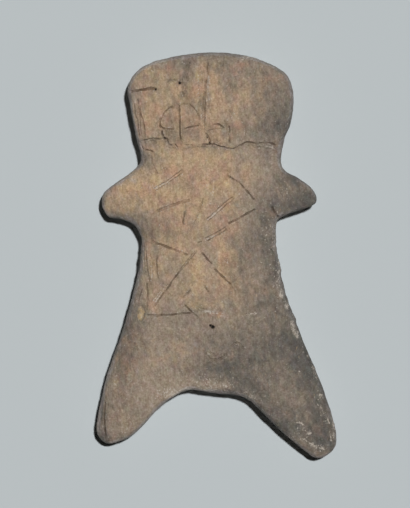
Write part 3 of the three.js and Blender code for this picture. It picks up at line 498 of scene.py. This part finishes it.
def smooth_curve(points, steps, closed=False):
    """A smooth curve through the points, with that many steps from each point to the next."""
    points = np.array(points, float)
    if closed:
        ring = np.vstack([points[-1:], points, points[:2]])
    else:
        ring = np.vstack([2 * points[:1] - points[1:2], points, 2 * points[-1:] - points[-2:-1]])
    p0, p1, p2, p3 = (ring[i:len(ring) - 3 + i, None] for i in range(4))
    t = np.linspace(0, 1, steps, endpoint=False)[None, :, None]
    curve = p1 + 0.5 * ((p2 - p0) * t + (2 * p0 - 5 * p1 + 4 * p2 - p3) * t**2
                        + (3 * p1 - p0 - 3 * p2 + p3) * t**3)
    curve = curve.reshape(-1, 2)
    return curve if closed else np.vstack([curve, points[-1:]])


def ease(t):
    """From 0 to 1 with level ends as t goes from 0 to 1, and still outside them."""
    t = np.clip(t, 0, 1)
    return t * t * (3 - 2 * t)


def noise(points, size, seed):
    """Smooth random values, about -1 to 1, at places in space. Size is how far apart they change, as one
    length or as one for each axis."""
    rng = np.random.default_rng(seed)
    order = rng.permutation(256)
    slopes = rng.normal(size=(256, 3))
    slopes /= np.linalg.norm(slopes, axis=1, keepdims=True)
    scaled = points / size
    cell = np.floor(scaled).astype(int)
    part = scaled - cell
    total = np.zeros(len(points))
    for corner in np.ndindex(2, 2, 2):
        i, j, k = (cell + corner).T
        slope = slopes[order[(order[(order[i & 255] + j) & 255] + k) & 255]]
        away = part - corner
        total += np.prod(1 - ease(np.abs(away)), axis=1) * (slope * away).sum(axis=1)
    return 1.7 * total


# Form of the slab

INSET_STEP = 0.25
INSET_MARGIN = 3.0


def inset_table():
    """A grid of the smooth distance in from the outline. It is the inverse of the average of one over the
    distance to the outline, taken in every direction, edge by edge."""
    ring = smooth_curve(OUTLINE, 4, closed=True)
    low = ring.min(axis=0) - INSET_MARGIN
    high = ring.max(axis=0) + INSET_MARGIN
    x, y = np.meshgrid(*(np.arange(a, b, INSET_STEP) for a, b in zip(low, high)), indexing="ij")
    total = np.zeros_like(x)
    for a, b in zip(np.roll(ring, 1, axis=0), ring):
        length = np.hypot(*(b - a))
        ux, uy = (b - a) / length
        off = (y - a[1]) * ux - (x - a[0]) * uy
        off = np.where(np.abs(off) < 1e-4, -1e-4, off)
        start = (a[0] - x) * ux + (a[1] - y) * uy
        end = start + length
        total -= (end / np.hypot(end, off) - start / np.hypot(start, off)) / off
    return low, 2 / total


INSET_LOW, INSET_GRID = inset_table()


def inset(xy):
    """How far in from the outline a place lies, levelling out in the middle, and negative outside."""
    at = np.clip((xy - INSET_LOW) / INSET_STEP, 0, np.array(INSET_GRID.shape) - 1.001)
    i, j = at.astype(int).T
    s, t = (at - at.astype(int)).T
    return ((1 - s) * (1 - t) * INSET_GRID[i, j] + s * (1 - t) * INSET_GRID[i + 1, j]
            + (1 - s) * t * INSET_GRID[i, j + 1] + s * t * INSET_GRID[i + 1, j + 1])


def seen(points):
    """Where the camera sees each point, in the plane of the rim. The marks are placed as they are seen."""
    nearer = CAMERA_DISTANCE / (CAMERA_DISTANCE - (points[:, 2:] - RIM_HEIGHT))
    return CAMERA_XY + (points[:, :2] - CAMERA_XY) * nearer


def bell(xy, place):
    """1 in the middle of a place, fading to nothing past its reach."""
    middle, reach = np.array(place).reshape(2, 2)
    return np.exp(-(((xy - middle) / reach) ** 2).sum(axis=1))


def patches(xy, rows):
    """Soft patches laid over one another, 0 to 1."""
    clear = np.ones(len(xy))
    for *place, strength in rows:
        clear *= 1 - strength * bell(xy, place)
    return 1 - clear


def rise(xy):
    """How far the front stands above the rim where the slab is level."""
    chin = np.interp(xy[:, 0], *np.array(CHIN_LINE).T)
    crown = CROWN_RISE * (1 - np.clip(1 - inset(xy) / CROWN_REACH, 0, 1) ** 2)
    height = FRONT_RISE + crown + CHIN_STEP * ease((xy[:, 1] - chin + CHIN_SLOPE) / CHIN_SLOPE)
    for *place, front, _ in FORMS.values():
        height = height + front * bell(xy, place)
    return height


def drop(xy):
    """How far the back lies below the rim where the slab is level."""
    depth = np.full(len(xy), BACK_DROP)
    for *place, _, back in FORMS.values():
        depth += back * bell(xy, place)
    return depth


def clay(points):
    """Below zero in the clay. Front and back both leave the rim upright."""
    xy = points[:, :2]
    height = points[:, 2] - RIM_HEIGHT
    front = height > 0
    reach = np.where(front, FRONT_ROLL * (1 - patches(xy, CRISP_EDGES)), BACK_ROLL)
    roll = np.maximum(0, 1 - inset(xy) / reach)
    lift = np.abs(height) / np.where(front, rise(xy), drop(xy))
    fullness = np.where(front, FRONT_FULLNESS, BACK_FULLNESS)
    return roll**fullness + lift**fullness - 1


def settle(points, passes=3, longest=0.5, nudge=1e-3):
    """Moves points along the field's slope until they lie on the surface."""
    for _ in range(passes):
        value = clay(points)
        slope = np.stack([(clay(points + nudge * axis) - value) / nudge for axis in np.eye(3)], axis=1)
        step = slope * (value / (slope**2).sum(axis=1))[:, None]
        size = np.linalg.norm(step, axis=1, keepdims=True)
        points = points - step * np.minimum(1, longest / np.maximum(size, 1e-9))
    return points


# Net of the surface

def net():
    """A closed net of triangles: one point in each cell that the surface passes through, and one four-sided
    face, cut in two, round each cell edge that it crosses."""
    low = np.append(INSET_LOW, RIM_HEIGHT - BACK_DROP - 2 * FIRST_CELL)
    high = np.append(INSET_LOW + INSET_STEP * np.array(INSET_GRID.shape), RIM_HEIGHT + 2 * FRONT_RISE)
    count = np.ceil((high - low) / FIRST_CELL).astype(int)
    nodes = low + FIRST_CELL * np.stack(np.meshgrid(*map(np.arange, count), indexing="ij"), axis=-1)
    values = clay(nodes.reshape(-1, 3)).reshape(count)
    sums = np.zeros((*count, 3))
    hits = np.zeros(count, int)
    faces = []
    for axis in range(3):
        p, q = (axis + 1) % 3, (axis + 2) % 3
        near = np.moveaxis(values, axis, 0)[:-1]
        far = np.moveaxis(values, axis, 0)[1:]
        at = np.argwhere((near < 0) != (far < 0))
        start, end = near[tuple(at.T)], far[tuple(at.T)]
        at = np.insert(np.delete(at, 0, axis=1), axis, at[:, 0], axis=1)
        crossing = nodes[tuple(at.T)]
        crossing[:, axis] += FIRST_CELL * start / (start - end)
        back = np.eye(3, dtype=int)
        cells = [at - back[p] - back[q], at - back[q], at, at - back[p]]
        for cell in cells:
            np.add.at(sums, tuple(cell.T), crossing)
            np.add.at(hits, tuple(cell.T), 1)
        corners = np.stack([np.ravel_multi_index(tuple(cell.T), count) for cell in cells], axis=1)
        faces.append(np.where((start < 0)[:, None], corners, corners[:, ::-1]))
    used = np.flatnonzero(hits)
    points = sums.reshape(-1, 3)[used] / hits.reshape(-1)[used][:, None]
    quads = np.searchsorted(used, np.vstack(faces))
    return settle(points), np.vstack([quads[:, [0, 1, 2]], quads[:, [0, 2, 3]]])


def split_edges(points, faces, too_long):
    """Cuts every edge that too_long picks at its middle, and each face along those cuts."""
    sides = np.sort(faces[:, [[0, 1], [1, 2], [2, 0]]].reshape(-1, 2), axis=1)
    edges, side_edge = np.unique(sides, axis=0, return_inverse=True)
    ends = points[edges]
    cut = too_long(ends.mean(axis=1), np.linalg.norm(ends[:, 0] - ends[:, 1], axis=1))
    middle = np.full(len(edges), -1)
    middle[cut] = len(points) + np.arange(cut.sum())
    middles = middle[side_edge.reshape(-1)].reshape(-1, 3)
    cuts = (middles >= 0).sum(axis=1)
    # each face is turned so that its first side is cut, and of two cut sides the last is whole
    turn = np.where(cuts == 1, np.argmax(middles >= 0, axis=1), 0)
    turn = np.where(cuts == 2, (np.argmin(middles, axis=1) + 1) % 3, turn)
    order = (turn[:, None] + np.arange(3)) % 3
    a, b, c = np.take_along_axis(faces, order, axis=1).T
    ab, bc, ca = np.take_along_axis(middles, order, axis=1).T
    pieces = {0: [(a, b, c)], 1: [(a, ab, c), (ab, b, c)], 2: [(ab, b, bc), (a, ab, bc), (a, bc, c)],
              3: [(a, ab, ca), (ab, b, bc), (ca, bc, c), (ab, bc, ca)]}
    split = [np.stack(part, axis=1)[cuts == n] for n, parts in pieces.items() for part in parts]
    return np.vstack([points, settle(ends[cut].mean(axis=1), passes=2)]), np.vstack(split)


def beside(xy, path, reach):
    """The places within reach of a path, with their distance from it and how far along it they lie."""
    low, high = path.min(axis=0) - reach, path.max(axis=0) + reach
    near = np.flatnonzero(((xy > low) & (xy < high)).all(axis=1))
    a, step = path[:-1], np.diff(path, axis=0)
    length = np.linalg.norm(step, axis=1)
    gap = xy[near][:, None] - a
    share = np.clip((gap * step).sum(axis=2) / length**2, 0, 1)
    away = np.linalg.norm(gap - share[..., None] * step, axis=2)
    best = away.argmin(axis=1)[:, None]
    run = np.take_along_axis(share * length + np.cumsum(length) - length, best, axis=1)[:, 0]
    away = np.take_along_axis(away, best, axis=1)[:, 0]
    close = away < reach
    return near[close], away[close], run[close], length.sum()


STROKE_PATHS = {name: smooth_curve(path, 6) for name, (*_, path) in STROKES.items()}
SMEAR_PATHS = {name: smooth_curve(path, 6) for name, (*_, path) in SMEARS.items()}


def too_long(places, lengths):
    """Whether an edge is longer than the net's size at its middle."""
    allowed = np.where(places[:, 2] > RIM_HEIGHT - RIM_REACH, FRONT_EDGE, BACK_EDGE)
    front = np.flatnonzero(places[:, 2] > RIM_HEIGHT + LINES_ABOVE_RIM)
    xy = seen(places[front])
    for path in STROKE_PATHS.values():
        near, *_ = beside(xy, path, LINE_REACH)
        allowed[front[near]] = LINE_EDGE
    for middle, radius, _ in HOLES.values():
        near = np.linalg.norm(xy - middle, axis=1) < 2 * radius
        allowed[front[near]] = LINE_EDGE
    return lengths > allowed


def normals_of(points, faces):
    """The mean direction that the faces round each point look in."""
    a, b, c = (points[faces[:, i]] for i in range(3))
    across = np.cross(b - a, c - a)
    total = np.zeros_like(points)
    for i in range(3):
        np.add.at(total, faces[:, i], across)
    return total / np.linalg.norm(total, axis=1, keepdims=True)


# Relief of the surface

def drawn_lines(points):
    """Height of the drawn lines and smears at each point, negative inwards, then how much dirt and painted
    shade, pale dust and painted highlight, and grime and painted shade lie there. Only the holes, painted
    near black as shade, hold more than 1 of dirt and shade."""
    height = np.zeros(len(points))
    lip_height = np.zeros(len(points))
    dirt_and_shade = np.zeros(len(points))
    dust_and_highlight = np.zeros(len(points))
    xy = seen(points) + STRAY * np.stack([noise(points, STRAY_LENGTH, seed) for seed in (11, 12)], axis=1)
    ragged = 1 + WIDTH_CHANGE * noise(points, WIDTH_LENGTH, 13)
    pressed = PRESSURE + PRESSURE_CHANGE * noise(points, PRESSURE_LENGTH, 14)
    pressed = np.clip(pressed, LEAST_PRESSURE, MOST_PRESSURE)
    for name, (width, depth, lip, pale, _) in STROKES.items():
        near, away, run, length = beside(xy, STROKE_PATHS[name], 1.6 * width)
        half = 0.5 * width * ragged[near]
        ends = ease(run / STROKE_TAPER) * ease((length - run) / STROKE_TAPER)
        across = np.clip(away / half, 0, 1)
        firm = np.maximum(pressed[near], FIRMNESS * depth)
        cut = (1 - across**3) * ends * firm
        height[near] = np.minimum(height[near], -depth * cut)
        ridge = lip * ends * np.exp(-(((away - LIP_PLACE * half) / (LIP_WIDTH * half)) ** 2))
        lip_height[near] = np.maximum(lip_height[near], ridge)
        # where pale dust fills the floor, dirt and painted shade show only at the walls
        wall = np.maximum(1 - DIRT_AND_SHADE_UNDER_DUST * pale, ease((across - 0.3) / 0.4)) * (1 - across**6)
        dirt_and_shade[near] = np.maximum(dirt_and_shade[near], np.minimum(1, depth / DIRT_AND_SHADE_DEPTH) * wall * ends * firm)
        dust_and_highlight[near] = np.maximum(dust_and_highlight[near], pale * ease(1.3 * run / length) * (1 - across**4) * ends)
        # the lips are paled with dust and with painted highlight
        dust_and_highlight[near] = np.maximum(dust_and_highlight[near], LIP_DUST_AND_HIGHLIGHT * ridge / lip)
    for middle, radius, depth in HOLES.values():
        gap = np.linalg.norm(xy - middle, axis=1) / radius
        near = np.flatnonzero(gap < 1)
        down = 1 - gap[near] ** 2.2
        height[near] = np.minimum(height[near], -depth * down)
        # the inside of a hole is painted near black, as shade
        dirt_and_shade[near] = np.maximum(dirt_and_shade[near], 2 * down)
    # smears leave hollows, darkened with grime and with painted shade
    hollow = np.zeros(len(points))
    grime_and_shade = np.zeros(len(points))
    for name, (reach, depth, held, _) in SMEARS.items():
        near, away, run, length = beside(xy, SMEAR_PATHS[name], 2.2 * reach)
        ends = ease((run + 0.4 * reach) / (1.6 * reach)) * ease((length - run + 0.4 * reach) / (1.6 * reach))
        amount = np.exp(-((away / reach) ** 2)) * ends
        hollow[near] += depth * amount
        grime_and_shade[near] = np.maximum(grime_and_shade[near], held * amount)
    # lips stand only where no other line cuts them
    uncut = height > -0.05
    return height + lip_height * uncut - hollow, dirt_and_shade, dust_and_highlight, grime_and_shade


def fanned(points):
    """The points with their x drawn together towards the feet, so that streaks follow the spread legs."""
    spread = 1 + LEG_SPREAD * np.maximum(0, WAIST - points[:, 1])
    return points * np.stack([1 / spread, np.ones(len(points)), np.ones(len(points))], axis=1)


def turned(points, angle):
    """The points turned round an upright axis by an angle in degrees."""
    across, along = math.cos(math.radians(angle)), math.sin(math.radians(angle))
    return points @ np.array([[across, along, 0], [-along, across, 0], [0, 0, 1]])


def uneven(points):
    """Swells, smears and grain left by the fingers and by the sand in the clay."""
    swells = 0.15 * noise(points, 9, 21) + 0.24 * noise(points, 3.4, 22)
    smears = 0.07 * noise(fanned(points), (0.9, 4, 2), 23)
    strokes = sum(0.06 * noise(turned(points, angle), (0.8, 3, 2), seed)
                  for seed, angle in ((26, 38), (27, -40)))
    grain = 0.09 * noise(points, 1.5, 24) + 0.035 * noise(points, 0.75, 25)
    return swells + smears + strokes + grain


def clay_mesh():
    """The figurine's mesh, centred like the solid, with what its colours depend on stored at each point."""
    points, faces = net()
    for _ in range(REFINE_PASSES):
        points, faces = split_edges(points, faces, too_long)
    normals = normals_of(points, faces)
    # what looks up, what doesn't look down, and what looks outwards
    on_front = ease((normals[:, 2] - 0.1) / 0.3)
    on_top = ease((normals[:, 2] + 0.3) / 0.4)
    rim = ease((0.98 - np.abs(normals[:, 2])) / 0.45)
    lines, dirt_and_shade, dust_and_highlight, grime_and_shade = drawn_lines(points)
    xy = seen(points)
    soft = sum(height * bell(xy, place) for *place, height in DENTS.values())
    broken = noise(points, 0.9, 31)
    # pale crust, and painted light along a few rims
    crusted = patches(xy, PALE_AND_PAINTED_LIGHT) * on_top
    chipped = patches(xy, [row[:5] for row in CHIPS]) * on_top
    bared = patches(xy, [(*place, paleness) for *place, _, paleness in CHIPS]) * ease(2 * chipped)
    fresh = patches(xy, [(*place, strength * (1 - paleness)) for *place, strength, paleness in CHIPS])
    crumbled = CRUMBS * patches(xy, CRUMBLED) * noise(points, 1.1, 32)
    crust = CRUST_HEIGHT * ease((crusted + 0.5 * broken - 0.35) / 0.3)
    chip = CHIP_DEPTH * ease((chipped + 0.3 * broken - 0.35) / 0.25)
    relief = (1 - RIM_WIPED * rim) * uneven(points) + on_front * (soft + lines) + crust - chip + crumbled
    moved = points + normals * relief[:, None]
    height = moved[:, 2]
    pressed = 0.5 * (height + np.hypot(height, PRESSED_SOFTNESS))
    moved[:, 2] = np.where(height < PRESSED_HEIGHT, pressed, height)
    moved[:, 2] -= moved[:, 2].min()
    cad = 0.5 * np.array(cad_low + cad_high)[:2] / MM
    moved[:, :2] += cad - 0.5 * (moved[:, :2].min(axis=0) + moved[:, :2].max(axis=0))

    mesh = bpy.data.meshes.new("fired_clay_figurine")
    mesh.from_pydata((moved * MM).tolist(), [], faces.tolist())
    mesh.shade_smooth()
    marks = {
        "dirt_and_shade": dirt_and_shade * on_front,
        "grime_and_shade": grime_and_shade * on_front,
        "smoke_and_shade": np.where(points[:, 2] > 0.5 * RIM_HEIGHT, patches(xy, SMOKE_AND_SHADE), patches(xy, BACK_SMOKE)),
        "cool": 1 - patches(xy, CLEAR),
        # edges that turn outwards, which the material paints greyer and lighter as painted light against
        # their shade
        "rim": rim,
        "warm": patches(xy, WARM) * on_front,
        "ochre": patches(xy, OCHRE) * on_front,
        "fresh": fresh * on_front,
        "pale": np.maximum(np.maximum(crusted, bared), 0.85 * dust_and_highlight * on_front),
    }
    for name, values in marks.items():
        mesh.attributes.new(name, "FLOAT", "POINT").data.foreach_set("value", values.astype(np.float32))
    return mesh


# Materials

# Grit of the clay: how far apart its grains are, and how far they stand out
GRIT = 0.6
GRIT_DEPTH = 0.3


def linear(hex_colour):
    """A colour written as sRGB hex, as the linear values that shaders take."""
    channels = [int(hex_colour[i:i + 2], 16) / 255 for i in (1, 3, 5)]
    return [c / 12.92 if c <= 0.04045 else ((c + 0.055) / 1.055) ** 2.4 for c in channels] + [1.0]


def node(tree, kind, inputs=None, **settings):
    """Adds a node with its settings. Inputs maps a socket to a value or to the output that feeds it."""
    made = tree.nodes.new("ShaderNode" + kind)
    for name, value in settings.items():
        setattr(made, name, value)
    for socket, value in (inputs or {}).items():
        if isinstance(value, bpy.types.NodeSocket):
            tree.links.new(value, made.inputs[socket])
        else:
            made.inputs[socket].default_value = value
    return made


def new_material(name):
    """An empty material with its node tree and output."""
    material = bpy.data.materials.new(name)
    material.use_nodes = True
    material.node_tree.nodes.clear()
    return material, material.node_tree, node(material.node_tree, "OutputMaterial")


# Colours over the plain clay, each laid on the last: the mark it follows, or how far it covers where there is
# none; how far its streaks are turned from upright, in degrees; the size of its blotches in millimetres; how
# much they break it up; where it sets in and where it is full; how strong it is; and its colour
PLAIN_CLAY = "#ba9e80"
CLAY_LAYERS = [
    # yellower, redder and greyer beds in the clay
    (0.45, 25, (3, 6, 4), 2.6, 0.2, 0.9, 0.36, "#cbae86"),
    (0.4, -20, (2.4, 4.5, 3), 2.6, 0.3, 0.95, 0.4, "#bd8f7a"),
    (0.35, 10, (2.8, 4.5, 3.6), 2.6, 0.35, 0.95, 0.36, "#958a80"),
    ("cool", 20, (4, 6, 4), 1.2, 0.1, 0.9, 0.78, "#96897b"),
    # outward-turned edges painted greyer and lighter, as painted light against their shade
    ("rim", 0, (2, 3, 2), 1.5, 0.1, 0.9, 0.7, "#aea6a2"),
    ("ochre", 15, (2, 3, 2), 1.2, 0.15, 0.85, 0.55, "#cbae82"),
    ("warm", -15, (1.6, 2.6, 2), 1.2, 0.15, 0.85, 0.55, "#be9078"),
    # grime, and painted shade in hollows, valleys and under the chin
    ("grime_and_shade", 0, (1.2, 1.8, 1.2), 1.5, 0.05, 0.9, 0.9, "#746a5d"),
    # smoke, and painted shade along a few edges that face away from the lamp
    ("smoke_and_shade", 15, (1.6, 3, 2.6), 0.6, 0.02, 0.95, 1, "#5c5954"),
    # a chip bares clay that the smoke never reached
    ("fresh", 0, (0.6, 1.2, 0.8), 2, 0.2, 0.9, 0.75, "#c2a982"),
]

# Uneven shades of that clay: how far the streaks are turned from upright, in degrees; the size of the
# blotches in millimetres; and how far they lighten and darken its red, green and blue
CLAY_SHADES = [
    # grains
    (0, (0.4, 0.4, 0.4), (0.22, 0.25, 0.29)),
    (0, (0.9, 1.1, 0.9), (0.18, 0.21, 0.25)),
    # marks of the wiping hand
    (5, (0.4, 2.4, 1.2), (0.14, 0.165, 0.19)),
    (-48, (0.5, 3.4, 1.5), (0.08, 0.095, 0.11)),
    (36, (0.6, 2.8, 1.5), (0.08, 0.095, 0.11)),
    # pink and green tinges of the sandy body
    (30, (1.6, 2.8, 2.2), (0.02, -0.03, 0.02)),
    (-30, (0.8, 1.2, 0.8), (0.015, -0.02, 0.015)),
]

# What lies on the clay, with painted shade and highlight, in the form of its layers
WEAR_LAYERS = [
    # pale crust, dust and bared clay, with painted light on a few rims and painted highlight on the lips of
    # lines
    ("pale", 0, (1.2, 1.6, 1.2), 1.2, 0.2, 1, 0.32, "#b5aa9a"),
    ("pale", 0, (0.45, 0.5, 0.45), 3.5, 0.5, 0.95, 0.7, "#cfc4b7"),
    # lines packed with dirt and with painted shade on their walls, and the inside of holes painted near black
    # as shade
    ("dirt_and_shade", 0, (0.8, 0.8, 0.8), 0.8, 0, 1.2, 0.7, "#443322"),
    ("dirt_and_shade", 0, (0.8, 0.8, 0.8), 0.8, 1.15, 1.6, 1, "#0f0c0a"),
]

# How far apart in the pattern two layers lie, and where the shades and the wear begin in it
LAYER_SHIFT = 31
SHADES_SHIFT = 700
WEAR_SHIFT = 1300

# How much the blotches are swirled, and how far the noise strays from its middle of 0.5
LAYER_SWIRL = 0.5
NOISE_STRAY = 0.25

# Blotches broader than this, in millimetres, have soft edges
SOFT_SIZE = 1.5


def blotches(tree, place, turn, size, shift):
    """Random values round 0.5, in streaks of the given size. Another shift gives another pattern."""
    mapped = node(tree, "Mapping", {
        "Vector": place, "Location": [shift * MM] * 3, "Rotation": (0, 0, math.radians(turn)),
        "Scale": [MM * length for length in size],
    }, vector_type="TEXTURE").outputs[0]
    detail = 1.0 if size[0] >= SOFT_SIZE else 3.0
    return node(tree, "TexNoise", {
        "Vector": mapped, "Scale": 1.0, "Detail": detail, "Distortion": LAYER_SWIRL,
    }).outputs["Fac"]


def lay_over(tree, place, colour, layers, shift):
    """The colour with the layers over it."""
    for i, (cover, turn, size, breakup, start, full, strength, tint) in enumerate(layers):
        blotch = blotches(tree, place, turn, size, shift + LAYER_SHIFT * i)
        if isinstance(cover, str):
            cover = node(tree, "Attribute", attribute_name=cover).outputs["Fac"]
        centred = node(tree, "Math", {0: blotch, 1: 0.5}, operation="SUBTRACT").outputs[0]
        broken = node(tree, "Math", {0: centred, 1: breakup, 2: cover}, operation="MULTIPLY_ADD").outputs[0]
        amount = node(tree, "MapRange", {0: broken, 1: start, 2: full, 3: 0.0, 4: strength},
                      interpolation_type="SMOOTHSTEP").outputs[0]
        colour = node(tree, "Mix", {0: amount, 6: colour, 7: linear(tint)}, data_type="RGBA").outputs[2]
    return colour


def shade(tree, place, colour, shades, shift):
    """The colour made lighter and darker in turn by the shades."""
    for i, (turn, size, spread) in enumerate(shades):
        blotch = blotches(tree, place, turn, size, shift + LAYER_SHIFT * i)
        slope = [part / NOISE_STRAY for part in spread]
        factor = node(tree, "VectorMath", {0: blotch, 1: slope, 2: [1 - 0.5 * part for part in slope]},
                      operation="MULTIPLY_ADD").outputs[0]
        colour = node(tree, "VectorMath", {0: colour, 1: factor}, operation="MULTIPLY").outputs[0]
    return colour


def fired_clay():
    """Sandy clay fired at a low heat, unglazed: dull and grainy, buff where the fire was clear, grey where it
    smoked."""
    material, tree, output = new_material("fired_clay")
    place = node(tree, "TexCoord").outputs["Object"]
    colour = lay_over(tree, place, linear(PLAIN_CLAY), CLAY_LAYERS, 0)
    colour = shade(tree, place, colour, CLAY_SHADES, SHADES_SHIFT)
    colour = lay_over(tree, place, colour, WEAR_LAYERS, WEAR_SHIFT)
    grit_place = node(tree, "VectorMath", {0: place, 1: [1 / (MM * GRIT)] * 3},
                      operation="MULTIPLY").outputs[0]
    grit = node(tree, "TexNoise", {"Vector": grit_place, "Scale": 1.0, "Detail": 3.0}).outputs["Fac"]
    bump = node(tree, "Bump", {"Height": grit, "Distance": GRIT_DEPTH * MM}).outputs[0]
    clay_shader = node(tree, "BsdfPrincipled", {"Base Color": colour, "Roughness": 0.88, "Normal": bump})
    tree.links.new(clay_shader.outputs[0], output.inputs[0])
    return material


def pale_card():
    """Plain matte card, a little bluish."""
    material, tree, output = new_material("pale_card")
    card = node(tree, "BsdfPrincipled", {"Base Color": linear("#c7ced0"), "Roughness": 0.9})
    tree.links.new(card.outputs[0], output.inputs[0])
    return material


# Scene

def add_object(name, data):
    """An object of the scene at the origin."""
    made = bpy.data.objects.new(name, data)
    bpy.context.scene.collection.objects.link(made)
    return made


def add_figurine():
    """The figurine, in place of its solid."""
    figurine = add_object("clay_figurine", clay_mesh())
    figurine.data.materials.append(fired_clay())
    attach(figurine, "root")
    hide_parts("figurine")


def add_table():
    """The plain table that the figurine lies on."""
    mesh = bpy.data.meshes.new("table_top")
    corners = [(x * TABLE_REACH, y * TABLE_REACH, 0) for x, y in ((-1, -1), (1, -1), (1, 1), (-1, 1))]
    mesh.from_pydata(corners, [], [(0, 1, 2, 3)])
    mesh.materials.append(pale_card())
    add_object("table_top", mesh)


def add_camera():
    """The camera, looking straight down."""
    camera = bpy.data.cameras.new("camera")
    camera.lens = LENS
    camera.sensor_width = FILM_LONG_SIDE
    camera.clip_start = 0.01
    seat = add_object("camera", camera)
    seat.location = (*(CAMERA_XY * MM), (RIM_HEIGHT + CAMERA_DISTANCE) * MM)
    bpy.context.scene.camera = seat


def add_lights():
    """A small far lamp close to the camera's line, and a very weak fill."""
    lamp = bpy.data.lights.new("lamp", "SUN")
    lamp.angle = math.radians(LAMP_WIDTH)
    lamp.energy = LAMP_STRENGTH
    seat = add_object("lamp", lamp)
    seat.location = LAMP_PLACE
    seat.rotation_euler = seat.location.to_track_quat("Z", "Y").to_euler()
    world = bpy.data.worlds.new("fill")
    world.use_nodes = True
    world.node_tree.nodes["Background"].inputs["Strength"].default_value = FILL_STRENGTH
    bpy.context.scene.world = world
    bpy.context.scene.view_settings.view_transform = "Standard"


add_camera()
add_figurine()
add_table()
add_lights()
